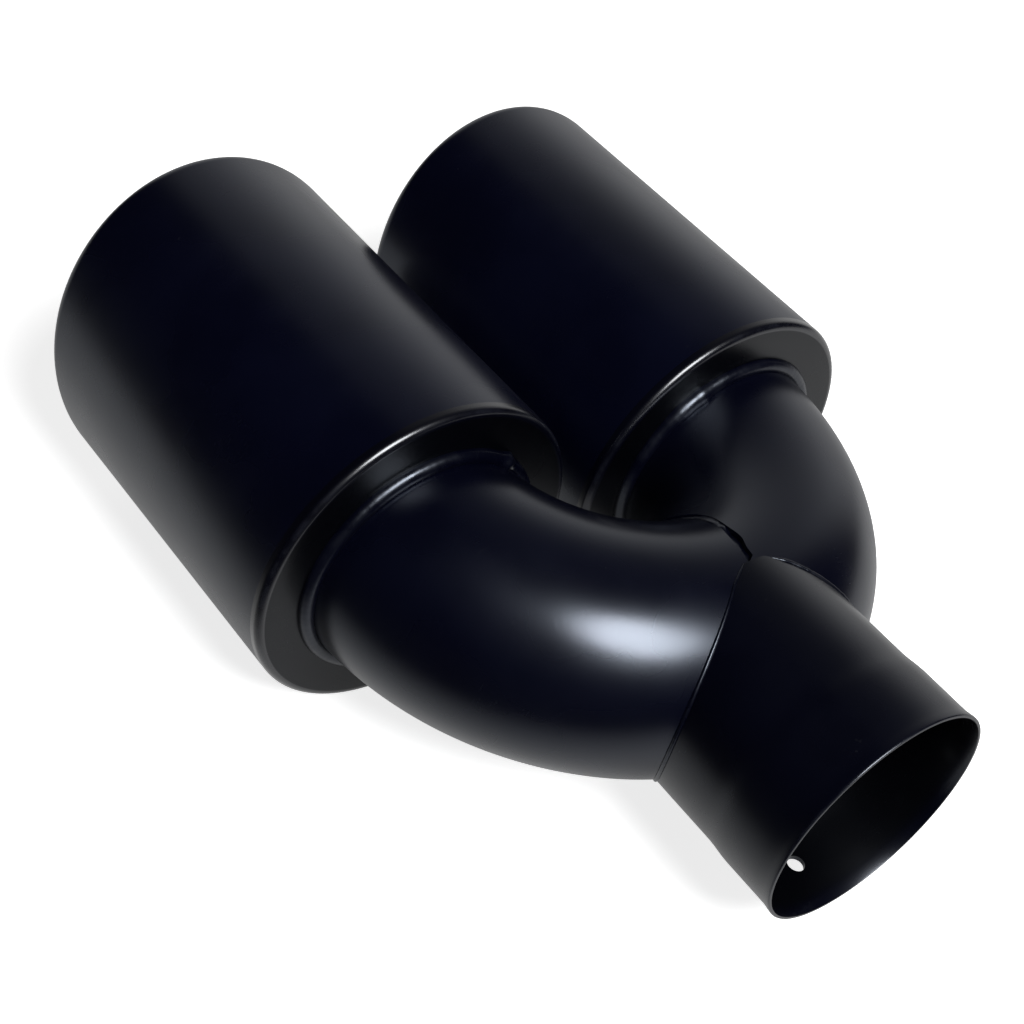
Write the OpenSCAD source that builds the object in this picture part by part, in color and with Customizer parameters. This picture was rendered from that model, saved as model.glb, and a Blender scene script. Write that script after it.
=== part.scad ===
// Twin exhaust tip: one inlet pipe splits into two elbows that feed two double-walled outlet cans.
// Millimetres, +Z up. Both cans point along +Y. The origin lies on the inlet's axis, in its socket,
// where the axis of the fixing screw crosses it.

/* [Cans] */
// Outer diameter of each can
can_d = 88.9; // [84:0.1:96]
// Sheet thickness of each can
can_wall = 1.2; // [0.8:0.1:1.6]
// Length of each can along its centre line, to the front of the lip
can_len = 102; // [80:1:140]
// Space between the two cans
can_gap = 10.1; // [8:0.1:16]
// Slant of the outlets, with the top longer than the bottom
slant_angle = 12; // [4:0.5:18]
// Outer bend radius of the rolled outlet lip
lip_r = 4.5; // [3:0.25:5.5]
// Length of the lip's inner leg, which the liner slips over
lip_leg = 6; // [4:0.5:10]

/* [End plates] */
// Sheet thickness of each end plate
plate_wall = 1.2; // [0.8:0.1:1.6]
// Outer radius of the plate's pressed edge
plate_edge_r = 1.8; // [1.7:0.1:3]
// Straight part of the plate's turned rim, from its edge to the butt joint with the can
plate_rim = 1.2; // [0.6:0.1:4]
// Smallest gap between the plate's hole and the elbow, which already leans inwards there
plate_clearance = 0.2; // [0.1:0.05:0.5]

/* [Elbows] */
// Outer diameter of the elbow tube
tube_d = 61; // [56:0.1:63]
// Wall of the elbow tube
tube_wall = 1.2; // [0.8:0.1:1.6]
// Bend radius of the elbows, at the tube's centre line
bend_r = 57.5; // [55:0.5:64]
// Distance from the plate's outer face to the start of the bend, inside the can
bend_inset = 4.7; // [3.5:0.1:6]
// Straight end of the elbow inside the liner
tail_len = 12; // [8:1:16]
// Width of the groove between the two elbows where they meet
seam_gap = 1.6; // [1:0.1:2.4]
// How far the elbows reach into the wedge of the inlet pipe
seam_lap = 4; // [3:0.5:6]

/* [Liners] */
// Wall of each liner
liner_wall = 1; // [0.8:0.1:1.4]
// Radial clearance of the liner on the elbow and on the lip's leg
liner_clearance = 0.1; // [0.05:0.05:0.2]
// Length of the liner's cone
cone_len = 28; // [20:1:36]

/* [Inlet pipe] */
// Distance from the inlet mouth to the end plates
inlet_reach = 112; // [106:1:130]
// Wall of the inlet pipe
inlet_wall = 1.2; // [0.8:0.1:1.5]
// Bore of the socket that takes the tailpipe
socket_d = 60.4; // [56:0.1:62]
// Length of the straight socket bore
socket_len = 14; // [14:1:16]
// Outer diameter at the flared mouth
mouth_d = 63.5; // [63.2:0.1:66]
// Length of the mouth's flare
mouth_flare = 3; // [2:0.5:4]
// Outer diameter at the waist
waist_d = 61.8; // [60:0.1:62.6]
// Length of the taper from the socket to the waist
waist_taper = 5; // [3:0.5:8]
// Length of the straight waist
waist_len = 12; // [8:1:14]
// Clearance between the elbows and the wedge end that laps them
lap_clearance = 0.1; // [0.1:0.05:0.2]
// Angle of the two wedge faces to a square cut
wedge_angle = 31.5; // [28:0.5:36]
// Setback of the wedge's point from the crossing of the elbows
wedge_setback = 1; // [0.5:0.1:2]
// How much of the wedge's point is cut off square
point_trim = 2; // [1:0.1:2.5]

/* [Fixing hole] */
// Diameter of the fixing-screw hole in the underside of the inlet
screw_hole_d = 4.5; // [4:0.5:6]
// Distance from the inlet mouth to the screw hole
screw_hole_inset = 12; // [8:0.5:13]

/* [Welds] */
// Radius of the weld bead round each elbow at its end plate
ring_weld_r = 1.7; // [1.2:0.1:2.4]
// Depth of the seam weld below the surface of the elbows
seam_weld_depth = 0.6; // [0.2:0.1:0.6]
// Width of the weld bead between the inlet pipe and the elbows
inlet_weld_w = 1; // [0.6:0.1:1.1]

/* [Hidden] */
$fn = 128;

// Small overshoot for cuts that run past a face
over = 1;
// Edge length of the blocks that cut away everything on one side of a plane
block = 6 * can_d;

can_r = can_d / 2;
can_pitch = can_d + can_gap;
tube_r = tube_d / 2;
tube_inner_r = tube_r - tube_wall;
mouth_y = -screw_hole_inset;
plate_y = mouth_y + inlet_reach;
can_y = plate_y + plate_edge_r + plate_rim;
front_y = plate_y + can_len;
slant_rise = can_r * tan(slant_angle);

// The rolled lip: a half turn inwards, then a leg back into the can
lip_centre_r = can_r - lip_r;
lip_inner_r = can_r - 2 * lip_r;
leg_outer_r = lip_inner_r + can_wall;
lip_y = front_y - lip_r;
// Straight facets round the lip's half turn
lip_steps = 16;

// The elbow's arc starts in the can and crosses the centre plane at bend_angle. An arc that ends
// short of that plane is followed by a straight run
half_pitch = can_pitch / 2;
bend_x = bend_r - half_pitch;
bend_y = plate_y + bend_inset;
bend_angle = bend_x > 0 ? acos(1 - half_pitch / bend_r) : 90;
crossing_y = bend_y - bend_r * sin(bend_angle);
tail_end = bend_y + tail_len;
// Lean of the bend's inner side at the plate
bend_inner_r = bend_r - tube_r;
plate_lean = bend_inner_r - sqrt(pow(bend_inner_r, 2) - pow(bend_inset, 2));

// The liner is a socket on the elbow's tail, a cone, and a parallel front
liner_rear_r = tube_r + liner_clearance;
liner_front_r = leg_outer_r + liner_clearance;
liner_end_gap = 0.5;

// The inlet pipe's outer radii, from the mouth to the wedge
socket_r = socket_d / 2;
socket_outer_r = socket_r + inlet_wall;
mouth_r = mouth_d / 2;
waist_r = waist_d / 2;
wedge_r = tube_r + lap_clearance + inlet_wall;
socket_start = mouth_y + mouth_flare;
socket_end = socket_start + socket_len;
waist_start = socket_end + waist_taper;
waist_end = waist_start + waist_len;
wedge_y = crossing_y - wedge_setback;
inlet_profile = [
    [mouth_r, mouth_y],
    [socket_outer_r, socket_start],
    [socket_outer_r, socket_end],
    [waist_r, waist_start],
    [waist_r, waist_end],
    [wedge_r, wedge_y],
    [wedge_r, wedge_y + over],
];

BLACK_PAINT = [0.05, 0.05, 0.06];
BLACK_INSIDE = [0.03, 0.03, 0.03];
BLACK_WELD = [0.09, 0.09, 0.1];

// Stands a shape that was made along +Z up along +Y
module along_y() {
    rotate([-90, 0, 0]) children();
}

// Places a left-hand shape on its side: -1 is the left and 1 the right
module on_side(side) {
    mirror([side > 0 ? 1 : 0, 0, 0]) children();
}

// Turns a half section, with its radius along x and its length along y, about a can's centre line
module can_revolve() {
    translate([-half_pitch, 0, 0]) along_y() rotate_extrude() children();
}

// Slants everything along the cans, so that round walls stay round
module slanted() {
    multmatrix([
        [1, 0, 0, 0],
        [0, 1, tan(slant_angle), 0],
        [0, 0, 1, 0],
        [0, 0, 0, 1],
    ]) children();
}

// All space in front of a slanted plane that crosses the cans' centre lines at y
module beyond_slant(y) {
    translate([0, y, 0])
        rotate([-slant_angle, 0, 0])
            translate([-block / 2, 0, -block / 2])
                cube(block);
}

// Points along an arc about a centre, from one angle to another
function arc(centre, r, from, to) = [
    for (i = [0:lip_steps])
        let (a = from + (to - from) * i / lip_steps)
            centre + r * [cos(a), sin(a)]
];

// Half section of the can: the skin, the rolled lip and its leg
module can_section() {
    rear = can_y - slant_rise - over;
    leg_y = lip_y - lip_leg;
    lip_centre = [lip_centre_r, lip_y];
    polygon(concat(
        [[can_r - can_wall, rear], [can_r, rear]],
        arc(lip_centre, lip_r, 0, 180),
        [[lip_inner_r, leg_y], [leg_outer_r, leg_y]],
        arc(lip_centre, lip_r - can_wall, 180, 0)
    ));
}

module can() {
    color(BLACK_PAINT)
        difference() {
            slanted() can_revolve() can_section();
            translate([-block / 2, can_y - block, -block / 2]) cube(block);
        }
}

// A rectangle from the origin whose far lower corner is rounded
module corner_block(width, depth, r) {
    difference() {
        square([width, depth]);
        translate([width - r, 0])
            difference() {
                translate([0, -over]) square([r + over, r + over]);
                translate([0, r]) circle(r);
            }
    }
}

// Half section of the end plate: a disc with a pressed edge and a turned rim
module plate_section() {
    hole = tube_r + plate_lean + plate_clearance;
    difference() {
        translate([0, plate_y]) corner_block(can_r, can_y - plate_y, plate_edge_r);
        translate([0, plate_y + plate_wall])
            corner_block(can_r - plate_wall, can_y - plate_y, plate_edge_r - plate_wall);
        translate([0, plate_y - over]) square([hole, can_y - plate_y + over]);
    }
}

module end_plate() {
    color(BLACK_PAINT) can_revolve() plate_section();
}

// Half section of the liner
module liner_section() {
    cone_end = tail_end + cone_len;
    front = front_y + slant_rise;
    polygon([
        [liner_rear_r, bend_y],
        [liner_rear_r + liner_wall, bend_y],
        [liner_rear_r + liner_wall, tail_end],
        [liner_front_r + liner_wall, cone_end],
        [liner_front_r + liner_wall, front],
        [liner_front_r, front],
        [liner_front_r, cone_end],
        [liner_rear_r, tail_end],
    ]);
}

module liner() {
    color(BLACK_INSIDE)
        difference() {
            can_revolve() liner_section();
            beyond_slant(lip_y - liner_end_gap);
        }
}

// Section of a bar, or of a tube where the inner radius isn't 0
module ring_section(outer, inner) {
    difference() {
        circle(outer);
        if (inner > 0) circle(inner);
    }
}

// A bent bar or tube along the elbow's centre line, from the can to past the centre plane
module bent(outer, inner = 0) {
    translate([bend_x, bend_y, 0])
        rotate([0, 0, 180])
            rotate_extrude(angle = 90)
                translate([bend_r, 0]) ring_section(outer, inner);
    if (bend_x < 0)
        translate([bend_x, bend_y - bend_r, 0])
            rotate([0, 90, 0])
                linear_extrude(over - bend_x) ring_section(outer, inner);
}

// All space on the mouth's side of the left wedge face that starts at y on the centre plane
module before_wedge(y) {
    translate([0, y, 0])
        rotate([0, 0, wedge_angle])
            translate([-block / 2, -block, -block / 2])
                cube(block);
}

// All space to the right of the plane x
module right_of(x) {
    translate([x, -block / 2, -block / 2]) cube(block);
}

module elbow() {
    color(BLACK_PAINT)
        difference() {
            union() {
                bent(tube_r, tube_inner_r);
                translate([-half_pitch, bend_y, 0])
                    along_y()
                        difference() {
                            cylinder(r = tube_r, h = tail_len);
                            translate([0, 0, -over]) cylinder(r = tube_inner_r, h = tail_len + 2 * over);
                        }
            }
            right_of(-seam_gap / 2);
            before_wedge(wedge_y - seam_lap);
        }
}

// All space on the cans' side of the left wedge face, whose point at y is cut off square
module after_wedge(y) {
    translate([0, y, 0])
        rotate([0, 0, wedge_angle])
            translate([-block / 2, 0, -block / 2])
                cube(block);
    translate([-block / 2, y - point_trim, -block / 2])
        cube(block);
}

// The space beyond both faces of the wedge end
module wedge_cut(y) {
    for (side = [-1, 1])
        on_side(side)
            difference() {
                after_wedge(y);
                right_of(0);
            }
}

// The space that one elbow takes up to the centre plane
module elbow_space(r) {
    difference() {
        bent(r);
        right_of(0);
    }
}

// The inlet pipe filled solid, its outside grown by extra
module inlet_solid(extra) {
    along_y()
        rotate_extrude()
            polygon(concat(
                [[0, wedge_y + over], [0, mouth_y]],
                [for (p = inlet_profile) [p[0] + extra, p[1]]]
            ));
}

// The bore of the inlet pipe, one wall inside its profile
module inlet_bore() {
    far = wedge_y + 2 * over;
    along_y()
        rotate_extrude()
            polygon(concat(
                [[0, far], [0, mouth_y - over], [mouth_r - inlet_wall, mouth_y - over]],
                [for (p = inlet_profile) [p[0] - inlet_wall, p[1]]],
                [[wedge_r - inlet_wall, far]]
            ));
}

module inlet_pipe() {
    color(BLACK_PAINT)
        difference() {
            inlet_solid(0);
            inlet_bore();
            wedge_cut(wedge_y);
            for (side = [-1, 1]) on_side(side) elbow_space(tube_r + lap_clearance);
            translate([0, 0, -mouth_r - over]) cylinder(d = screw_hole_d, h = mouth_r);
        }
}

// Bead round the elbow where it enters the end plate
module ring_weld() {
    color(BLACK_WELD)
        difference() {
            can_revolve()
                intersection() {
                    translate([tube_r, plate_y]) circle(ring_weld_r);
                    translate([0, plate_y - ring_weld_r - over]) square([can_r, ring_weld_r + over]);
                }
            bent(tube_r);
        }
}

// Weld at the bottom of the groove between the elbows
module seam_weld() {
    color(BLACK_WELD)
        for (side = [-1, 1])
            on_side(side)
                difference() {
                    bent(tube_r - seam_weld_depth, tube_inner_r);
                    right_of(0);
                    mirror([1, 0, 0]) right_of(seam_gap / 2);
                    before_wedge(wedge_y - seam_lap);
                }
}

// Bead in the corner between the inlet pipe and one elbow
module inlet_weld() {
    color(BLACK_WELD)
        difference() {
            intersection() {
                inlet_solid(inlet_weld_w);
                bent(tube_r + inlet_weld_w);
            }
            right_of(0);
            after_wedge(wedge_y + inlet_weld_w);
            difference() {
                inlet_solid(0);
                after_wedge(wedge_y);
            }
            bent(tube_r);
        }
}

module left_can() { on_side(-1) can(); }
module right_can() { on_side(1) can(); }
module left_end_plate() { on_side(-1) end_plate(); }
module right_end_plate() { on_side(1) end_plate(); }
module left_liner() { on_side(-1) liner(); }
module right_liner() { on_side(1) liner(); }
module left_elbow() { on_side(-1) elbow(); }
module right_elbow() { on_side(1) elbow(); }
module left_ring_weld() { on_side(-1) ring_weld(); }
module right_ring_weld() { on_side(1) ring_weld(); }
module left_inlet_weld() { on_side(-1) inlet_weld(); }
module right_inlet_weld() { on_side(1) inlet_weld(); }

left_can();
right_can();
left_end_plate();
right_end_plate();
left_liner();
right_liner();
left_elbow();
right_elbow();
inlet_pipe();
left_ring_weld();
right_ring_weld();
seam_weld();
left_inlet_weld();
right_inlet_weld();
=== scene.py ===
"""Looks for a twin exhaust tip: two slant-cut cans, two bent elbows and an inlet pipe, all painted black."""

import math
import random

import bpy
from mathutils import Matrix, Vector


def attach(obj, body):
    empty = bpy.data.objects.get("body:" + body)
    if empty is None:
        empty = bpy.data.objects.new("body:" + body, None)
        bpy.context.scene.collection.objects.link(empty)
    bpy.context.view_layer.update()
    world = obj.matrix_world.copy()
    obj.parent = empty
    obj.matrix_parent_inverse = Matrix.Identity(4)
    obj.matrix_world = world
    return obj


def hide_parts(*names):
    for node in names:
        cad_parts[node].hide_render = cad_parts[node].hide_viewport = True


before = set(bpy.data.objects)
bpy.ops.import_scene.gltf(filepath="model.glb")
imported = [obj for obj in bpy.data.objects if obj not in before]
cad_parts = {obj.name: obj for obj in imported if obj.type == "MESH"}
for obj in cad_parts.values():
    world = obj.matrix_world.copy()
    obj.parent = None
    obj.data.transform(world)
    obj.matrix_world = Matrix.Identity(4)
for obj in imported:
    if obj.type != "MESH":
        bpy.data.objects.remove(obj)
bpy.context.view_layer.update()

MM = 0.001

# Sizes of the part, in metres, as its source has them. Cans, plates and liners are made on the left (-X)
# and mirrored.
CAN_R = 44.45 * MM
CAN_WALL = 1.2 * MM
HALF_PITCH = 49.5 * MM
SLANT = math.radians(12)
LIP_R = 4.5 * MM
LIP_LEG = 6 * MM
PLATE_Y = 100 * MM
PLATE_WALL = 1.2 * MM
PLATE_EDGE_R = 1.8 * MM
PLATE_RIM = 1.2 * MM
FRONT_Y = 202 * MM
TUBE_R = 30.5 * MM
TUBE_WALL = 1.2 * MM
BEND_R = 57.5 * MM
BEND_X = BEND_R - HALF_PITCH
BEND_Y = PLATE_Y + 4.7 * MM
TAIL_LEN = 12 * MM
SEAM_LAP = 4 * MM
LINER_WALL = 1 * MM
LINER_GAP = 0.1 * MM
CONE_LEN = 28 * MM
WEDGE_ANGLE = math.radians(31.5)
POINT_TRIM = 2 * MM
SCREW_HOLE_R = 2.25 * MM

# Sizes of the dressed part alone, in metres. The plate's hole ends inside the ring bead, whose middle stands
# off the elbow and ahead of the plate.
PLATE_HOLE_R = TUBE_R + 0.61 * MM
ELBOW_ROOM = 0.03 * MM
RING_BEAD_R = 2.1 * MM
RING_BEAD_OFF = 0.95 * MM
RING_BEAD_AHEAD = 0.15 * MM
INLET_BEAD_R = 0.62 * MM

CAN_Y = PLATE_Y + PLATE_EDGE_R + PLATE_RIM
LIP_CENTRE_R = CAN_R - LIP_R
LEG_OUTER_R = CAN_R - 2 * LIP_R + CAN_WALL
TAIL_END = BEND_Y + TAIL_LEN
CROSSING_Y = BEND_Y - math.sqrt(BEND_R ** 2 - BEND_X ** 2)
WEDGE_Y = CROSSING_Y - 1 * MM

# Sides of the turned pieces
SIDES = 160
INLET_SIDES = 192

# The inlet pipe's outside from the mouth inwards, and the inside of its mouth: (radius, y) in millimetres
INLET_OUTSIDE = [
    (31.45, -12), (31.62, -11.94), (31.73, -11.77), (31.75, -11.5), (31.7, -11), (31.55, -10), (31.42, -9),
    (31.4, -7), (31.4, -3), (31.4, 1), (31.4, 4), (31.3, 6), (31.15, 7.5), (31, 9), (30.92, 10.5), (30.9, 12),
    (30.9, 15), (30.9, 18), (30.9, 21), (30.9, 24), (30.88, 27), (30.86, 30), (30.83, 33), (30.8, 36),
    (30.77, 39), (30.74, 42), (30.72, 45), (30.72, 48), (30.72, 52),
]
INLET_MOUTH = [(30.35, -6), (30.6, -9), (30.9, -11.9), (30.95, -12)]
INLET_WALL = 1.2
PAST_FLARE = 8

# The hand-made seam between the elbows wanders off the centre plane and opens in the middle:
# (y, edge of the left elbow, edge of the right elbow) in millimetres
SEAM_EDGES = [
    (36, -3.0, -1.8), (42, -2.8, -2.0), (44.5, -2.1, -1.8), (46.1, -1.6, 0.9), (47.4, -1.05, 1.1),
    (48.7, -0.95, 1.35), (50, -0.75, 1.95), (51.7, -0.3, 2.75), (53.4, 0.2, 3.0), (55.5, 0.85, 3.05),
    (57.5, 1.7, 3.2), (60, 2.6, 3.6), (62, 2.9, 3.8), (64, 2.9, 3.7), (67, 2.3, 3.1), (70, 1.4, 2.2),
    (74, 0.4, 1.2), (78, -0.2, 0.6), (82, -0.4, 0.4), (92, -0.4, 0.4),
]


# The photograph's viewpoint: place in metres, yaw, pitch and roll in degrees, and lens in millimetres
CAMERA_PLACE = (-0.29125, -0.13197, 0.29853)
CAMERA_TURN = (-49.2663, -39.4842, 18.0242)
CAMERA_LENS = 65.91


# ---------------------------------------------------------------- making meshes

def deselect_all():
    """Leaves edit mode, and leaves nothing selected."""
    if bpy.context.object and bpy.context.object.mode != "OBJECT":
        bpy.ops.object.mode_set(mode="OBJECT")
    for ob in bpy.context.selected_objects:
        ob.select_set(False)


def into_edit(ob):
    """Opens a piece in edit mode with everything selected."""
    deselect_all()
    ob.select_set(True)
    bpy.context.view_layer.objects.active = ob
    bpy.ops.object.mode_set(mode="EDIT")
    bpy.ops.mesh.select_all(action="SELECT")


def out_of_edit():
    """Closes edit mode."""
    bpy.ops.object.mode_set(mode="OBJECT")


def new_circle(name, radius, place, turn, sides):
    """A circle whose place and turn are in its mesh."""
    deselect_all()
    bpy.ops.mesh.primitive_circle_add(vertices=sides, radius=radius, location=place, rotation=turn)
    ob = bpy.context.object
    ob.name = ob.data.name = name
    bpy.ops.object.transform_apply(location=True, rotation=True, scale=True)
    return ob


def new_box(name, size, place):
    """A box whose place and size are in its mesh."""
    deselect_all()
    bpy.ops.mesh.primitive_cube_add(size=1, location=place, scale=size)
    ob = bpy.context.object
    ob.name = ob.data.name = name
    bpy.ops.object.transform_apply(location=True, rotation=True, scale=True)
    return ob


def turned(name, x, rings, sides=SIDES):
    """A closed turned piece about the line (x, 0) along +Y. Each ring is (radius, y, slanted or not)."""
    radius, y, slanted = rings[0]
    ob = new_circle(name, radius, (x, y, 0), (math.pi / 2, 0, 0), sides)
    into_edit(ob)
    for next_radius, next_y, next_slanted in rings[1:] + rings[:1]:
        bpy.ops.mesh.extrude_region_move(TRANSFORM_OT_translate={"value": (0, next_y - y, 0)})
        centre = (x, next_y, 0)
        if next_slanted != slanted:
            slant_ring(centre, next_slanted)
        if next_radius != radius:
            bpy.ops.transform.resize(value=(next_radius / radius,) * 3, center_override=centre)
        radius, y, slanted = next_radius, next_y, next_slanted
    bpy.ops.mesh.select_all(action="SELECT")
    bpy.ops.mesh.remove_doubles(threshold=0.00001)
    bpy.ops.mesh.normals_make_consistent(inside=False)
    out_of_edit()
    return ob


def slant_ring(centre, lean):
    """Leans the selected flat ring by the outlet's slant, or stands it up again. It stays round along Y."""
    stretch = 1 / math.cos(SLANT)
    if lean:
        bpy.ops.transform.rotate(value=SLANT, orient_axis="X", center_override=centre)
        bpy.ops.transform.resize(value=(1, stretch, stretch), center_override=centre)
    else:
        bpy.ops.transform.resize(value=(1, 1 / stretch, 1 / stretch), center_override=centre)
        bpy.ops.transform.rotate(value=-SLANT, orient_axis="X", center_override=centre)


def rings_at(points, slanted=False):
    """Rings for a turned piece from (radius, y) points, all flat or all slanted."""
    return [(r, y, slanted) for r, y in points]


def arc(centre, r, start, stop, steps):
    """Points (radius, y) along an arc, angles in degrees from straight out to straight ahead."""
    points = []
    for i in range(steps + 1):
        a = math.radians(start + (stop - start) * i / steps)
        points.append((centre[0] + r * math.cos(a), centre[1] + r * math.sin(a)))
    return points


def apply_modifier(ob, kind, **settings):
    """Adds a modifier to a piece and applies it."""
    deselect_all()
    ob.select_set(True)
    bpy.context.view_layer.objects.active = ob
    modifier = ob.modifiers.new(kind.lower(), kind)
    for key, value in settings.items():
        setattr(modifier, key, value)
    bpy.ops.object.modifier_apply(modifier=modifier.name)


def subtract(ob, cutter):
    """Cuts one closed piece out of another, and throws the cutter away."""
    apply_modifier(ob, "BOOLEAN", operation="DIFFERENCE", object=cutter, solver="EXACT")
    bpy.data.objects.remove(cutter)


def cut_away(ob, point, normal):
    """Removes what lies on the normal's side of a plane."""
    into_edit(ob)
    bpy.ops.mesh.bisect(plane_co=point, plane_no=normal, clear_outer=True, clear_inner=False)
    out_of_edit()


def move_turned(ob, angle, place):
    """Turns a piece about Z at the origin, then moves it."""
    into_edit(ob)
    bpy.ops.transform.rotate(value=-angle, orient_axis="Z", center_override=(0, 0, 0))
    bpy.ops.transform.translate(value=place)
    out_of_edit()


def smooth(ob, degrees=35):
    """Shades a piece smooth, with its corners kept sharp."""
    deselect_all()
    ob.select_set(True)
    bpy.context.view_layer.objects.active = ob
    bpy.ops.object.shade_smooth_by_angle(angle=math.radians(degrees))


def mirrored(ob, name):
    """A copy with its own mesh, mirrored to the right-hand side."""
    deselect_all()
    ob.select_set(True)
    bpy.context.view_layer.objects.active = ob
    bpy.ops.object.duplicate()
    twin = bpy.context.object
    twin.name = twin.data.name = name
    into_edit(twin)
    bpy.ops.transform.resize(value=(-1, 1, 1), center_override=(0, 0, 0))
    bpy.ops.mesh.flip_normals()
    out_of_edit()
    return twin


def swept(name, path, radii, widths=None, sides=12):
    """A bead along a path, with one ring for each point, square to the path. Its ends are closed.

    Widths make it wider along X than it is high, for a path that runs along a plane of one X.
    """
    widths = widths or radii
    tangents = []
    for i in range(len(path)):
        ahead = path[min(i + 1, len(path) - 1)] - path[max(i - 1, 0)]
        tangents.append(ahead.normalized())
    turn = tangents[0].to_track_quat("Z", "Y").to_euler()
    ob = new_circle(name, radii[0], path[0], turn, sides)
    into_edit(ob)
    bpy.ops.transform.resize(value=(widths[0] / radii[0], 1, 1), center_override=path[0])
    bpy.ops.mesh.edge_face_add()
    for i in range(1, len(path)):
        bpy.ops.mesh.extrude_region_move(TRANSFORM_OT_translate={"value": path[i] - path[i - 1]})
        bend = tangents[i - 1].rotation_difference(tangents[i]).to_euler("XYZ")
        for axis, angle in zip("XYZ", bend):
            if abs(angle) > 0.00001:
                bpy.ops.transform.rotate(value=-angle, orient_axis=axis, center_override=path[i])
        higher = radii[i] / radii[i - 1]
        bpy.ops.transform.resize(value=(widths[i] / widths[i - 1], higher, higher), center_override=path[i])
    bpy.ops.mesh.select_all(action="SELECT")
    bpy.ops.mesh.normals_make_consistent(inside=False)
    out_of_edit()
    return ob


def ripples(count, radius, every, depth, seed, wander=0.02):
    """Bead radii with the low ripples of a hand weld and a little unevenness."""
    draw = random.Random(seed)
    radii = []
    drift = 0.0
    for i in range(count):
        drift = 0.85 * drift + draw.uniform(-1, 1) * wander
        ripple = depth * math.cos(2 * math.pi * i / every)
        radii.append(radius * (1 + ripple + drift))
    return radii


def ramp_up(value, low, high):
    """0 below the range, 1 above it, and smooth between."""
    t = min(max((value - low) / (high - low), 0), 1)
    return t * t * (3 - 2 * t)


# ---------------------------------------------------------------- the pieces

def make_can():
    """The left can's skin, with the lip rolled inwards at its slanted outlet and the lip's short leg."""
    lip_y = FRONT_Y - LIP_R
    lip = arc((LIP_CENTRE_R, lip_y), LIP_R, 0, 180, 20)
    lip_inside = arc((LIP_CENTRE_R, lip_y), LIP_R - CAN_WALL, 180, 0, 14)
    leg_y = lip_y - LIP_LEG
    leg = [(CAN_R - 2 * LIP_R, leg_y), (LEG_OUTER_R, leg_y)]
    rings = [(CAN_R, CAN_Y, False)]
    rings += rings_at(lip + leg + lip_inside, slanted=True)
    rings += [(CAN_R - CAN_WALL, CAN_Y, False)]
    return turned("left_can_skin", -HALF_PITCH, rings)


def make_end_plate():
    """The left can's end plate: a pressed ring with a rounded edge and a turned rim."""
    centre = (CAN_R - PLATE_EDGE_R, PLATE_Y + PLATE_EDGE_R)
    points = [(r, PLATE_Y) for r in (PLATE_HOLE_R, TUBE_R + 3 * MM, TUBE_R + 8 * MM)]
    points += arc(centre, PLATE_EDGE_R, -90, 0, 10)
    points += [(CAN_R, CAN_Y), (CAN_R - PLATE_WALL, CAN_Y)]
    points += arc(centre, PLATE_EDGE_R - PLATE_WALL, 0, -90, 5)
    points += [(PLATE_HOLE_R, PLATE_Y + PLATE_WALL)]
    return turned("left_plate_pressing", -HALF_PITCH, rings_at(points))


def make_liner():
    """The left can's inner tube: over the elbow's tail, then a cone, then up to the lip's leg."""
    rear_r = TUBE_R + LINER_GAP
    front_r = LEG_OUTER_R + LINER_GAP
    cone_end = TAIL_END + CONE_LEN
    front = FRONT_Y - LIP_R - 0.5 * MM
    rings = [
        (rear_r + LINER_WALL, BEND_Y, False),
        (rear_r + LINER_WALL, TAIL_END, False),
        (front_r + LINER_WALL, cone_end, False),
        (front_r + LINER_WALL, front, True),
        (front_r, front, True),
        (front_r, cone_end, False),
        (rear_r, TAIL_END, False),
        (rear_r, BEND_Y, False),
    ]
    return turned("left_liner_tube", -HALF_PITCH, rings)


def bent_bar(name, radius, sides=SIDES, steps=60, tail=True):
    """An open tube skin along the left elbow's arc, a quarter turn past the centre plane."""
    start = TAIL_END if tail else BEND_Y
    ob = new_circle(name, radius, (-HALF_PITCH, start, 0), (math.pi / 2, 0, 0), sides)
    into_edit(ob)
    if tail:
        bpy.ops.mesh.extrude_region_move(TRANSFORM_OT_translate={"value": (0, BEND_Y - TAIL_END, 0)})
    bpy.ops.mesh.spin(steps=steps, angle=math.pi / 2, center=(BEND_X, BEND_Y, 0), axis=(0, 0, -1))
    bpy.ops.mesh.select_all(action="SELECT")
    bpy.ops.mesh.remove_doubles(threshold=0.000001)
    bpy.ops.mesh.normals_make_consistent(inside=False)
    out_of_edit()
    return ob


def make_elbow():
    """The left elbow with its wall, cut where it ends inside the inlet pipe."""
    ob = bent_bar("left_elbow_tube", TUBE_R)
    apply_modifier(ob, "SOLIDIFY", thickness=TUBE_WALL, offset=-1, use_even_offset=True)
    box = new_box("lap_cutter", (0.4, 0.1, 0.2), (0, -0.05, 0))
    move_turned(box, WEDGE_ANGLE, (0, WEDGE_Y - SEAM_LAP, 0))
    subtract(ob, box)
    return ob


def seam_edges(y):
    """Where the groove's left and right edges lie at y, in metres."""
    for (y0, left0, right0), (y1, left1, right1) in zip(SEAM_EDGES, SEAM_EDGES[1:]):
        if y <= y1 * MM:
            t = max(y / MM - y0, 0) / (y1 - y0)
            return (left0 + (left1 - left0) * t) * MM, (right0 + (right1 - right0) * t) * MM
    return SEAM_EDGES[-1][1] * MM, SEAM_EDGES[-1][2] * MM


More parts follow.
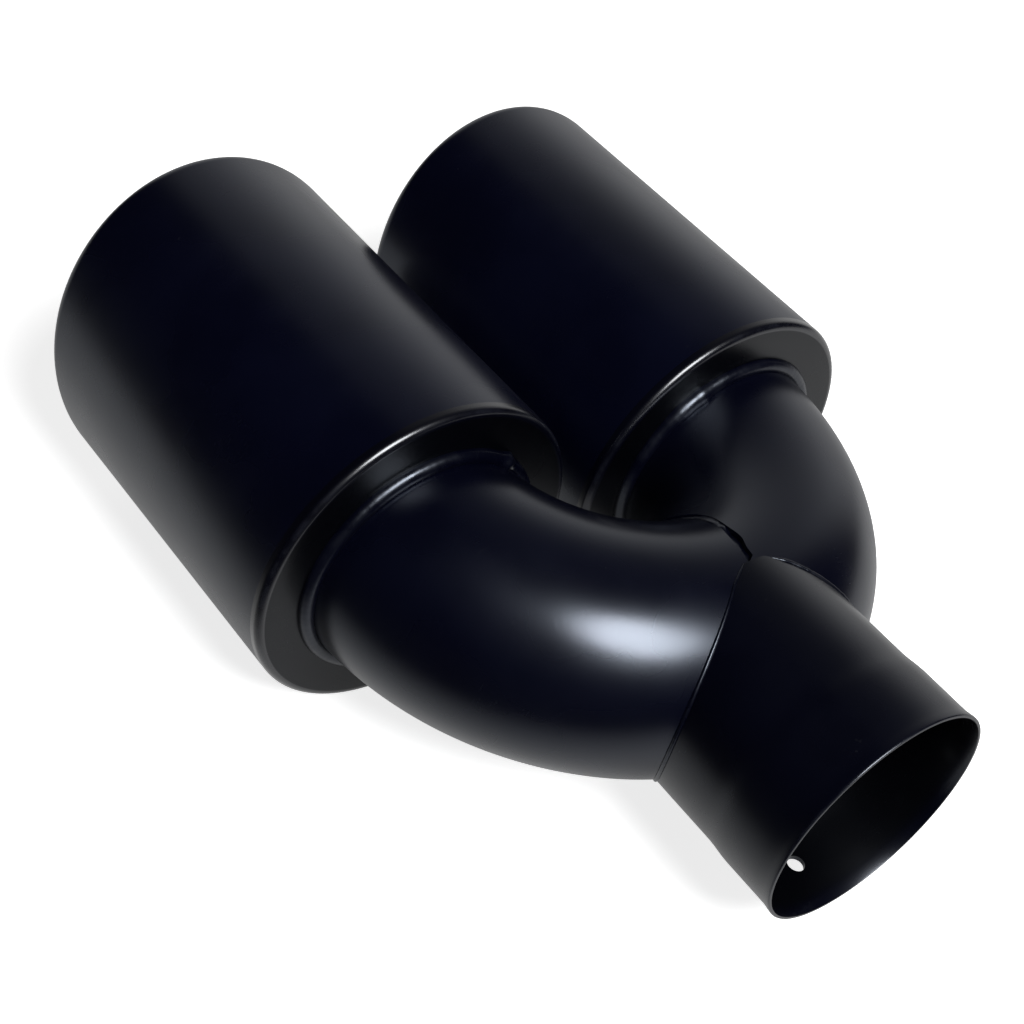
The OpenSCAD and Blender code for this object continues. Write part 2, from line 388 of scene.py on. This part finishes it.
def cut_seam(ob, side):
    """Cuts an elbow along its side of the groove, with a box whose face follows that edge."""
    first, last = SEAM_EDGES[0][0] * MM, SEAM_EDGES[-1][0] * MM
    width = 60 * MM
    close = 0.01 * MM
    box = new_box("seam_cutter", (width, last - first, 0.1), (-side * width / 2, (first + last) / 2, 0))
    into_edit(box)
    for y, left, right in SEAM_EDGES[1:-1]:
        bpy.ops.mesh.select_all(action="SELECT")
        bpy.ops.mesh.bisect(plane_co=(0, y * MM, 0), plane_no=(0, 1, 0))
    out_of_edit()
    for y, left, right in SEAM_EDGES:
        into_edit(box)
        bpy.ops.mesh.select_all(action="DESELECT")
        out_of_edit()
        for v in box.data.vertices:
            v.select = abs(v.co.y - y * MM) < close and abs(v.co.x) < close
        bpy.ops.object.mode_set(mode="EDIT")
        bpy.ops.transform.translate(value=((left if side < 0 else right) * MM, 0, 0))
        out_of_edit()
    subtract(ob, box)


def make_inlet():
    """The inlet pipe: turned, drilled, and cut to a wedge that is coped over both elbows."""
    inside = [(r - INLET_WALL, y) for r, y in reversed(INLET_OUTSIDE[PAST_FLARE:])]
    points = [(r * MM, y * MM) for r, y in INLET_OUTSIDE + inside + INLET_MOUTH]
    ob = turned("inlet_tube", 0, rings_at(points), sides=INLET_SIDES)
    deselect_all()
    under_mouth = (0, 0, -31 * MM)
    bpy.ops.mesh.primitive_cylinder_add(vertices=48, radius=SCREW_HOLE_R, depth=6 * MM, location=under_mouth)
    drill = bpy.context.object
    bpy.ops.object.transform_apply(location=True, rotation=True, scale=True)
    subtract(ob, drill)
    for side in (-1, 1):
        box = new_box("wedge_cutter", (0.2, 0.1, 0.1), (side * 0.1, 0.05, 0))
        move_turned(box, -side * WEDGE_ANGLE, (0, WEDGE_Y, 0))
        subtract(ob, box)
    subtract(ob, new_box("point_cutter", (0.02, 0.1, 0.1), (0, WEDGE_Y - POINT_TRIM + 0.05, 0)))
    for side in (-1, 1):
        subtract(ob, elbow_room(side))
    return ob


def elbow_room(side):
    """A solid bar where one elbow runs, up to the centre plane."""
    bar = bent_bar("elbow_cutter", TUBE_R + ELBOW_ROOM, sides=128, steps=90, tail=False)
    if side > 0:
        twin = mirrored(bar, "elbow_cutter_right")
        bpy.data.objects.remove(bar)
        bar = twin
    cut_away(bar, (0, 0, 0), (-side, 0, 0))
    into_edit(bar)
    bpy.ops.mesh.select_all(action="DESELECT")
    bpy.ops.mesh.select_non_manifold()
    bpy.ops.mesh.edge_face_add()
    bpy.ops.mesh.select_all(action="SELECT")
    bpy.ops.mesh.normals_make_consistent(inside=False)
    out_of_edit()
    return bar


def make_ring_weld(name, side, seed, lumps):
    """The bead round an elbow at its end plate. Lumps are (degrees from the top, width, size)."""
    count = 360
    path = []
    radii = ripples(count + 1, RING_BEAD_R, 3.6, 0.004, seed, 0.004)
    r = TUBE_R + RING_BEAD_OFF
    for i in range(count + 1):
        a = 2 * math.pi * i / count
        for place, width, size in lumps:
            off = (math.degrees(a) - place + 180) % 360 - 180
            radii[i] *= 1 + size * math.exp(-(off / width) ** 2)
        x = side * HALF_PITCH + r * math.sin(a)
        path.append(Vector((x, PLATE_Y - RING_BEAD_AHEAD, r * math.cos(a))))
    radii[-1] = radii[0]
    return swept(name, path, radii)


def elbow_distance(p):
    """How far a point lies from the centre line of the left elbow, and that line's nearest point."""
    x, y = p.x - BEND_X, p.y - BEND_Y
    a = min(max(math.atan2(-y, -x), 0.0), math.pi / 2)
    nearest = Vector((BEND_X - BEND_R * math.cos(a), BEND_Y - BEND_R * math.sin(a), 0))
    return (p - nearest).length, nearest


def inlet_radius(y):
    """Outer radius of the inlet pipe from its waist to the wedge, as in its profile."""
    t = min(max((y - 24 * MM) / (21 * MM), 0), 1)
    return (30.9 - 0.18 * t) * MM


def inlet_seam(side, count):
    """The corner between the inlet pipe and one elbow, from the top round to the bottom."""
    points = []
    halvings = 40
    out_of_corner = 0.75
    for i in range(count + 1):
        a = math.pi * i / count
        low, high = 5 * MM, WEDGE_Y - POINT_TRIM
        for _ in range(halvings):
            y = (low + high) / 2
            r = inlet_radius(y)
            p = Vector((-r * math.sin(a), y, r * math.cos(a)))
            past_wedge = y > WEDGE_Y + p.x * math.tan(WEDGE_ANGLE)
            if past_wedge or elbow_distance(p)[0] < TUBE_R:
                high = y
            else:
                low = y
        nearest = elbow_distance(p)[1]
        on_elbow = nearest + (p - nearest).normalized() * TUBE_R
        corner = p.lerp(on_elbow, out_of_corner)
        points.append(Vector((-side * corner.x, corner.y, corner.z)))
    return points


def make_inlet_weld(name, side, seed, start, thin, uneven):
    """The bead along that corner. It starts thin beside the centre plane and is fuller down the sides."""
    path = [p for p in inlet_seam(side, 240) if abs(p.x) > start]
    radii = ripples(len(path), 1, 4.4, uneven / 2, seed, uneven)
    for i, p in enumerate(path):
        t = min(abs(p.x) / (28 * MM), 1)
        taper = ramp_up(min(i, len(path) - 1 - i), -4, 9)
        radii[i] *= (thin + (INLET_BEAD_R - thin) * t) * taper
    return swept(name, path, radii)


def make_seam_weld(name, seed):
    """The bead in the groove between the elbows: deep near the inlet, and level with them behind."""
    path, radii, widths = [], [], []
    count = 240
    start, turn = math.radians(-9.5), math.radians(199)
    lump_at, lump_width = 29, 5
    uneven = ripples(count + 1, 1, 5, 0.02, seed)
    for i in range(count + 1):
        a = start + turn * i / count
        level = ramp_up(math.sin(a), 0.25, 0.33)
        lump = math.exp(-((math.degrees(a) - lump_at) / lump_width) ** 2)
        depth = 1.9 - 1.25 * level
        half_height = 0.85 - 0.05 * level + 0.35 * lump
        lap = 1.5 - 0.8 * level + 1.1 * lump
        r = TUBE_R - depth * MM
        y = CROSSING_Y + r * math.sin(a)
        left, right = seam_edges(y)
        path.append(Vector(((left + right) / 2, y, r * math.cos(a))))
        radii.append(half_height * uneven[i] * MM)
        widths.append((right - left) / 2 + lap * uneven[i] * MM)
    return swept(name, path, radii, widths)


# Each piece with the record's node that it replaces, and its slot and finish
can = make_can()
plate = make_end_plate()
liner = make_liner()
elbow = make_elbow()
right_elbow = mirrored(elbow, "right_elbow_tube")
cut_seam(elbow, -1)
cut_seam(right_elbow, 1)
pieces = {
    can: ("left_can", "can_paint"),
    mirrored(can, "right_can_skin"): ("right_can", "can_paint"),
    plate: ("left_end_plate", "plate_paint"),
    mirrored(plate, "right_plate_pressing"): ("right_end_plate", "plate_paint"),
    liner: ("left_liner", "liner_paint"),
    mirrored(liner, "right_liner_tube"): ("right_liner", "liner_paint"),
    elbow: ("left_elbow", "elbow_paint"),
    right_elbow: ("right_elbow", "elbow_paint"),
    make_inlet(): ("inlet_pipe", "inlet_paint"),
    make_ring_weld("left_ring_bead", -1, 3, [(36, 3.0, 0.35)]): ("left_ring_weld", "weld_paint"),
    make_ring_weld("right_ring_bead", 1, 8, [(-42, 11, 0.35), (-30, 4, 0.2)]):
        ("right_ring_weld", "weld_paint"),
    make_seam_weld("seam_bead", 5): ("seam_weld", "weld_paint"),
    make_inlet_weld("left_inlet_bead", -1, 11, 2.4 * MM, 0.2 * MM, 0.02):
        ("left_inlet_weld", "weld_paint"),
    make_inlet_weld("right_inlet_bead", 1, 12, 4.4 * MM, 0.5 * MM, 0.07):
        ("right_inlet_weld", "weld_paint"),
}
for ob, (node, slot) in pieces.items():
    smooth(ob)
    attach(ob, "root")
    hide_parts(node)


# ---------------------------------------------------------------- finishes

def feed(tree, socket, value):
    """Links a socket to another one's output, or sets it."""
    if isinstance(value, bpy.types.NodeSocket):
        tree.links.new(value, socket)
    elif value is not None:
        socket.default_value = value


def maths(tree, operation, *values, clamp=False):
    """A Math node on sockets or numbers."""
    node = tree.nodes.new("ShaderNodeMath")
    node.operation = operation
    node.use_clamp = clamp
    for socket, value in zip(node.inputs, values):
        feed(tree, socket, value)
    return node.outputs[0]


def length(tree, a, b):
    """How long the vector (a, b) is."""
    return maths(tree, "SQRT", maths(tree, "ADD", maths(tree, "POWER", a, 2.0), maths(tree, "POWER", b, 2.0)))


def noise(tree, place, scale, detail=0.0, roughness=0.5):
    node = tree.nodes.new("ShaderNodeTexNoise")
    feed(tree, node.inputs["Vector"], place)
    feed(tree, node.inputs["Scale"], scale)
    node.inputs["Detail"].default_value = detail
    node.inputs["Roughness"].default_value = roughness
    return node.outputs["Fac"]


def ramp(tree, value, low, high, to_low=0.0, to_high=1.0):
    """Maps a range to another one smoothly, and holds it past its ends."""
    node = tree.nodes.new("ShaderNodeMapRange")
    node.interpolation_type = "SMOOTHSTEP"
    names = ("Value", "From Min", "From Max", "To Min", "To Max")
    for name, v in zip(names, (value, low, high, to_low, to_high)):
        feed(tree, node.inputs[name], v)
    return node.outputs["Result"]


def blend(tree, mask, first, second):
    """Mixes two colours by a mask."""
    node = tree.nodes.new("ShaderNodeMix")
    node.data_type = "RGBA"
    feed(tree, node.inputs["Factor"], mask)
    for name, colour in (("A", first), ("B", second)):
        socket = [i for i in node.inputs if i.name == name and i.type == "RGBA"][0]
        feed(tree, socket, (*colour, 1) if isinstance(colour, tuple) else colour)
    return [o for o in node.outputs if o.type == "RGBA"][0]


def new_group(name, inputs, outputs):
    """An empty node group with a Place input, number inputs and number outputs."""
    group = bpy.data.node_groups.new(name, "ShaderNodeTree")
    group.interface.new_socket("Place", in_out="INPUT", socket_type="NodeSocketVector")
    for socket, value in inputs.items():
        new = group.interface.new_socket(socket, in_out="INPUT", socket_type="NodeSocketFloat")
        new.default_value = value
    for socket in outputs:
        group.interface.new_socket(socket, in_out="OUTPUT", socket_type="NodeSocketFloat")
    return group, group.nodes.new("NodeGroupInput").outputs, group.nodes.new("NodeGroupOutput").inputs


def apart(tree, place):
    """The X, Y and Z of a vector."""
    node = tree.nodes.new("ShaderNodeSeparateXYZ")
    tree.links.new(place, node.inputs[0])
    return node.outputs


def make_sprayed_film():
    """Sprayed paint: the fine orange peel, soft clouds of thicker and thinner film, and a few nibs."""
    group, given, out = new_group("sprayed_film", {"Peel Size": 0.001}, ("Height", "Clouds", "Nibs"))
    fineness = maths(group, "DIVIDE", 1.0, given["Peel Size"])
    peel = noise(group, given["Place"], fineness, 1.0)
    grain = noise(group, given["Place"], maths(group, "MULTIPLY", fineness, 2.6), 0.0)
    sparse = noise(group, given["Place"], maths(group, "MULTIPLY", fineness, 0.55), 0.0)
    nibs = ramp(group, sparse, 0.80, 0.86)
    height = maths(group, "ADD", peel, maths(group, "MULTIPLY", grain, 0.45))
    group.links.new(maths(group, "ADD", height, nibs), out["Height"])
    group.links.new(ramp(group, noise(group, given["Place"], 26.0, 3.0), 0.34, 0.66), out["Clouds"])
    group.links.new(nibs, out["Nibs"])
    return group


def make_rubbed_edge():
    """Where handling has polished a round edge: a broken line along a circle about a line along Y."""
    inputs = {"Axis X": 0.0, "Edge Radius": 0.044, "Edge Y": 0.1, "Lean": 0.0, "Width": 0.0012}
    group, given, out = new_group("rubbed_edge", inputs, ("Mask",))
    x, y, z = apart(group, given["Place"])
    across = maths(group, "SUBTRACT", maths(group, "ABSOLUTE", x), given["Axis X"])
    off_radius = maths(group, "SUBTRACT", length(group, across, z), given["Edge Radius"])
    level = maths(group, "SUBTRACT", y, maths(group, "MULTIPLY", z, given["Lean"]))
    off_y = maths(group, "SUBTRACT", level, given["Edge Y"])
    away = length(group, off_radius, off_y)
    near = ramp(group, maths(group, "DIVIDE", away, given["Width"]), 1.0, 0.15)
    broken = ramp(group, noise(group, given["Place"], 160.0, 3.0, 0.6), 0.40, 0.62)
    group.links.new(maths(group, "MULTIPLY", near, broken), out["Mask"])
    return group


def make_fine_scuffs():
    """Short faint scratches that run mostly round the part, in patches."""
    group, given, out = new_group("fine_scuffs", {"Amount": 0.5}, ("Mask",))
    mapping = group.nodes.new("ShaderNodeMapping")
    group.links.new(given["Place"], mapping.inputs["Vector"])
    mapping.inputs["Rotation"].default_value = (0.4, 0.5, 0.3)
    mapping.inputs["Scale"].default_value = (1.0, 9.0, 1.6)
    line = ramp(group, noise(group, mapping.outputs[0], 260.0, 1.0), 0.66, 0.72)
    patch = ramp(group, noise(group, given["Place"], 34.0, 2.0), 0.52, 0.68)
    both = maths(group, "MULTIPLY", line, patch)
    group.links.new(maths(group, "MULTIPLY", both, given["Amount"]), out["Mask"])
    return group


def make_settled_dust():
    """Dust on what faces up, in sparse specks."""
    group, given, out = new_group("settled_dust", {"Amount": 0.5}, ("Mask",))
    geometry = group.nodes.new("ShaderNodeNewGeometry")
    facing = ramp(group, apart(group, geometry.outputs["Normal"])[2], 0.25, 0.95)
    specks = ramp(group, noise(group, given["Place"], 700.0, 1.0), 0.73, 0.79)
    patch = ramp(group, noise(group, given["Place"], 45.0, 2.0), 0.42, 0.62)
    both = maths(group, "MULTIPLY", maths(group, "MULTIPLY", facing, specks), patch)
    group.links.new(maths(group, "MULTIPLY", both, given["Amount"]), out["Mask"])
    return group


def make_weld_scale():
    """The skin of a bead under its paint: small pits and lumps, and duller flanks."""
    group, given, out = new_group("weld_scale", {"Lump Size": 0.0008}, ("Height", "Dull"))
    fineness = maths(group, "DIVIDE", 1.0, given["Lump Size"])
    lumps = noise(group, given["Place"], fineness, 2.0, 0.6)
    pits = ramp(group, noise(group, given["Place"], maths(group, "MULTIPLY", fineness, 0.8), 0.0), 0.30, 0.22)
    group.links.new(maths(group, "SUBTRACT", lumps, maths(group, "MULTIPLY", pits, 0.6)), out["Height"])
    group.links.new(ramp(group, noise(group, given["Place"], 220.0, 2.0), 0.4, 0.65), out["Dull"])
    return group


SPRAYED_FILM = make_sprayed_film()
RUBBED_EDGE = make_rubbed_edge()
FINE_SCUFFS = make_fine_scuffs()
SETTLED_DUST = make_settled_dust()
WELD_SCALE = make_weld_scale()

# Blue-black satin paint: thin and thick film, polished edge, scuffed film, dust, and painted shade for
# recesses
THIN_FILM = (0.0008, 0.0011, 0.0072)
THICK_FILM = (0.0004, 0.0006, 0.0050)
POLISHED = (0.0045, 0.0050, 0.0085)
SCUFFED = (0.010, 0.011, 0.014)
DUST = (0.05, 0.05, 0.055)
PAINTED_SHADE_BLACK = (0.0005, 0.0006, 0.0012)


def placed(tree, group, place, **values):
    """A group in a material, with its own values."""
    node = tree.nodes.new("ShaderNodeGroup")
    node.node_tree = group
    tree.links.new(place, node.inputs["Place"])
    for name, value in values.items():
        node.inputs[name.replace("_", " ")].default_value = value
    return node.outputs


def paint(name, roughness=0.27, peel=0.0011, bump=0.0000045, edges=(), scuffs=0.1, dust=0.05, weld=False,
          recess=None, coat=False, specular=0.6, painted_shade_scale=1.0, tint=(0.78, 0.86, 1.0)):
    """The black paint, with the edges, scuffs and dust of one piece.

    A recess is what lies within a radius of a line along Y, as (X of the line, radius); its colour is
    darkened there as painted shade. With coat, the paint is glossier outside of it.
    """
    material = bpy.data.materials.new(name)
    material.use_nodes = True
    tree = material.node_tree
    shader = tree.nodes["Principled BSDF"]
    shader.inputs["Specular IOR Level"].default_value = specular
    shader.inputs["Specular Tint"].default_value = (*tint, 1)
    place = tree.nodes.new("ShaderNodeTexCoord").outputs["Object"]

    film = placed(tree, SPRAYED_FILM, place, Peel_Size=peel)
    # Each piece's black is scaled down by its own factor: darker copies of the one paint, as painted shade
    thin, thick = (tuple(c * painted_shade_scale for c in colour) for colour in (THIN_FILM, THICK_FILM))
    colour = blend(tree, film["Clouds"], thin, thick)
    gloss = ramp(tree, film["Clouds"], 0.0, 1.0, roughness + 0.025, roughness - 0.02)
    height = film["Height"]

    for axis_x, edge_radius, edge_y, lean, width in edges:
        rub = placed(tree, RUBBED_EDGE, place, Axis_X=axis_x, Edge_Radius=edge_radius, Edge_Y=edge_y,
                     Lean=lean, Width=width)["Mask"]
        colour = blend(tree, rub, colour, POLISHED)
        gloss = maths(tree, "SUBTRACT", gloss, maths(tree, "MULTIPLY", rub, 0.06))
    scuff = placed(tree, FINE_SCUFFS, place, Amount=scuffs)["Mask"]
    colour = blend(tree, scuff, colour, SCUFFED)
    gloss = maths(tree, "ADD", gloss, maths(tree, "MULTIPLY", scuff, 0.15))
    specks = placed(tree, SETTLED_DUST, place, Amount=dust)["Mask"]
    colour = blend(tree, specks, colour, DUST)
    gloss = maths(tree, "ADD", gloss, maths(tree, "MULTIPLY", specks, 0.3))
    if weld:
        scale = placed(tree, WELD_SCALE, place, Lump_Size=0.0007)
        height = maths(tree, "ADD", height, maths(tree, "MULTIPLY", scale["Height"], 1.5))
        gloss = maths(tree, "ADD", gloss, maths(tree, "MULTIPLY", scale["Dull"], 0.08))
    if recess:
        line_x, limit = recess
        x, y, z = apart(tree, place)
        across = maths(tree, "SUBTRACT", maths(tree, "ABSOLUTE", x), line_x)
        # Within the recess the colour turns to painted shade: a darker black where the hollow is shaded
        inside = ramp(tree, length(tree, across, z), limit + 0.2 * MM, limit - 0.2 * MM)
        colour = blend(tree, inside, colour, PAINTED_SHADE_BLACK)
        if coat:
            shader.inputs["Coat Roughness"].default_value = 0.24
            tree.links.new(maths(tree, "SUBTRACT", 0.85, inside, clamp=True), shader.inputs["Coat Weight"])

    raised = tree.nodes.new("ShaderNodeBump")
    raised.inputs["Strength"].default_value = 1.0
    raised.inputs["Distance"].default_value = bump
    tree.links.new(height, raised.inputs["Height"])
    tree.links.new(raised.outputs[0], shader.inputs["Normal"])
    tree.links.new(colour, shader.inputs["Base Color"])
    tree.links.new(gloss, shader.inputs["Roughness"])
    return material


# Round edges that handling polishes: (X of the line they run round, radius, y, slant, width)
lip_edge = (HALF_PITCH, LIP_CENTRE_R, FRONT_Y, math.tan(SLANT), 2.2 * MM)
plate_edge = (HALF_PITCH, CAN_R - 0.5 * MM, PLATE_Y + 0.5 * MM, 0.0, 1.1 * MM)
mouth_edge = (0.0, 31.65 * MM, -11.8 * MM, 0.0, 0.6 * MM)
# painted_shade_scale dims the black of the plate, elbow, inlet and welds: painted shade on copies of one
# paint
finishes = {
    "can_paint": paint("can_black_paint", edges=[lip_edge]),
    # The plate's flat face and the inlet pipe's inside get painted shade within their recess
    "plate_paint": paint("plate_black_paint", edges=[plate_edge], recess=(HALF_PITCH, CAN_R - 2.0 * MM),
                         coat=True, specular=0.3, painted_shade_scale=0.4, tint=(0.86, 0.91, 1.0)),
    "elbow_paint": paint("elbow_black_paint", painted_shade_scale=0.75),
    "inlet_paint": paint("inlet_black_paint", edges=[mouth_edge], scuffs=0.25, recess=(0.0, 30.65 * MM),
                         specular=0.47, painted_shade_scale=0.5, tint=(0.84, 0.90, 1.0)),
    "liner_paint": paint("liner_dull_black", roughness=0.46, peel=0.0016, bump=0.000012, scuffs=0.5,
                         dust=0.4),
    "weld_paint": paint("weld_black_paint", roughness=0.27, peel=0.0009, bump=0.000005, weld=True,
                        painted_shade_scale=0.6),
}
for ob, (node, slot) in pieces.items():
    ob.data.materials.clear()
    ob.data.materials.append(finishes[slot])


# ---------------------------------------------------------------- floor, light and camera

def ray_is(tree, *kinds):
    """1 for rays of any of these kinds."""
    path = tree.nodes.new("ShaderNodeLightPath")
    value = path.outputs["Is " + kinds[0] + " Ray"]
    for kind in kinds[1:]:
        value = maths(tree, "MAXIMUM", value, path.outputs["Is " + kind + " Ray"])
    return value


def mixed(tree, mask, first, second):
    """Mixes two shaders by a mask."""
    node = tree.nodes.new("ShaderNodeMixShader")
    tree.links.new(mask, node.inputs[0])
    tree.links.new(first, node.inputs[1])
    tree.links.new(second, node.inputs[2])
    return node.outputs[0]


def make_floor():
    """Pale paper. Its own glow makes it white, and glossy paint sees it end in front of the part.

    The glow is a little less round the part, so that its shadow shows.
    """
    deselect_all()
    bpy.ops.mesh.primitive_plane_add(size=8, location=(0, 0, -CAN_R))
    floor = bpy.context.object
    floor.name = "floor"
    material = bpy.data.materials.new("floor_paper")
    material.use_nodes = True
    tree = material.node_tree
    shader = tree.nodes["Principled BSDF"]
    shader.inputs["Base Color"].default_value = (0.8, 0.8, 0.8, 1)
    shader.inputs["Roughness"].default_value = 0.9
    shader.inputs["Specular IOR Level"].default_value = 0.1
    x, y, z = apart(tree, tree.nodes.new("ShaderNodeTexCoord").outputs["Object"])
    glow = tree.nodes.new("ShaderNodeEmission")
    shadow_reach, white_from = 0.35, 1.1
    strength = ramp(tree, length(tree, x, y), shadow_reach, white_from, 0.8, 1.0)
    tree.links.new(strength, glow.inputs["Strength"])
    white = tree.nodes.new("ShaderNodeAddShader")
    tree.links.new(shader.outputs[0], white.inputs[0])
    tree.links.new(glow.outputs[0], white.inputs[1])

    paper_ends, paper_full = -0.10, -0.03
    across = maths(tree, "ADD", maths(tree, "MULTIPLY", x, 0.9), maths(tree, "MULTIPLY", y, 0.43))
    paper = ramp(tree, across, paper_ends, paper_full)
    lit = tree.nodes.new("ShaderNodeBsdfDiffuse")
    tree.links.new(blend(tree, paper, (0.02, 0.02, 0.02), (0.2, 0.2, 0.2)), lit.inputs["Color"])
    dim = tree.nodes.new("ShaderNodeEmission")
    tree.links.new(maths(tree, "MULTIPLY", paper, 0.42), dim.inputs["Strength"])
    seen = tree.nodes.new("ShaderNodeAddShader")
    tree.links.new(lit.outputs[0], seen.inputs[0])
    tree.links.new(dim.outputs[0], seen.inputs[1])
    other = mixed(tree, ray_is(tree, "Glossy"), shader.outputs[0], seen.outputs[0])
    final = mixed(tree, ray_is(tree, "Camera", "Transmission"), other, white.outputs[0])
    tree.links.new(final, tree.nodes["Material Output"].inputs["Surface"])
    floor.data.materials.append(material)


def softbox(name, azimuth, elevation, distance, diameter, radiance):
    """A round soft light that faces the part. Azimuth is in degrees from +Y towards +X."""
    aim = Vector((0, 0.09, 0))
    a, e = math.radians(azimuth), math.radians(elevation)
    out = Vector((math.sin(a) * math.cos(e), math.cos(a) * math.cos(e), math.sin(e)))
    light = bpy.data.lights.new(name, "AREA")
    light.shape = "DISK"
    light.size = diameter
    light.energy = radiance * math.pi * math.pi * diameter ** 2 / 4
    ob = bpy.data.objects.new(name, light)
    bpy.context.scene.collection.objects.link(ob)
    ob.location = aim + out * distance
    ob.rotation_mode = "QUATERNION"
    ob.rotation_quaternion = out.to_track_quat("Z", "Y")
    return ob


def make_world():
    """White behind everything, and for the part a dim room with a pale backdrop behind its right side."""
    world = bpy.data.worlds.new("studio")
    bpy.context.scene.world = world
    world.use_nodes = True
    tree = world.node_tree
    x, y, z = apart(tree, tree.nodes.new("ShaderNodeTexCoord").outputs["Generated"])
    level = maths(tree, "MAXIMUM", length(tree, x, y), 0.01)
    backdrop_at = (0.731, 0.682)
    towards = maths(tree, "ADD", *(maths(tree, "MULTIPLY", v, at) for v, at in zip((x, y), backdrop_at)))
    side = ramp(tree, maths(tree, "DIVIDE", towards, level), 0.68, 0.87)
    rise = tree.nodes.new("ShaderNodeValToRGB")
    stops = rise.color_ramp.elements
    stops[0].position, stops[1].position = 0.30, 1.0
    stops[0].color, stops[1].color = (1, 1, 1, 1), (0.03, 0.03, 0.03, 1)
    for position, value in ((0.56, 0.5), (0.70, 0.2), (0.85, 0.1)):
        stops.new(position).color = (value, value, value, 1)
    tree.links.new(z, rise.inputs[0])
    backdrop = maths(tree, "MULTIPLY", maths(tree, "MULTIPLY", side, rise.outputs[0]), 0.6)
    room = tree.nodes["Background"]
    tree.links.new(maths(tree, "ADD", backdrop, 0.01), room.inputs["Strength"])
    room.inputs["Color"].default_value = (1, 1, 1, 1)
    white = tree.nodes.new("ShaderNodeBackground")
    white.inputs["Color"].default_value = (1, 1, 1, 1)
    white.inputs["Strength"].default_value = 1
    final = mixed(tree, ray_is(tree, "Camera"), room.outputs[0], white.outputs[0])
    tree.links.new(final, tree.nodes["World Output"].inputs["Surface"])


def make_camera():
    """The photograph's viewpoint, in the part's own frame."""
    data = bpy.data.cameras.new("camera")
    data.lens = CAMERA_LENS
    data.sensor_width = 36
    data.clip_start, data.clip_end = 0.01, 20
    camera = bpy.data.objects.new("camera", data)
    bpy.context.scene.collection.objects.link(camera)
    yaw, pitch, roll = (math.radians(v) for v in CAMERA_TURN)
    ahead = Vector((-math.sin(yaw) * math.cos(pitch), math.cos(yaw) * math.cos(pitch), math.sin(pitch)))
    level = Vector((math.cos(yaw), math.sin(yaw), 0))
    above = level.cross(ahead)
    right = math.cos(roll) * level + math.sin(roll) * above
    up = -math.sin(roll) * level + math.cos(roll) * above
    turn = Matrix((right, up, -ahead)).transposed().to_4x4()
    camera.matrix_world = Matrix.Translation(CAMERA_PLACE) @ turn
    bpy.context.scene.camera = camera


make_floor()
softbox("key_softbox", azimuth=192, elevation=51, distance=1.1, diameter=0.57, radiance=21.5)
softbox("key_spill", azimuth=199, elevation=33, distance=1.1, diameter=0.3, radiance=1.7)
make_world()
make_camera()

bpy.context.scene.view_settings.view_transform = "Standard"
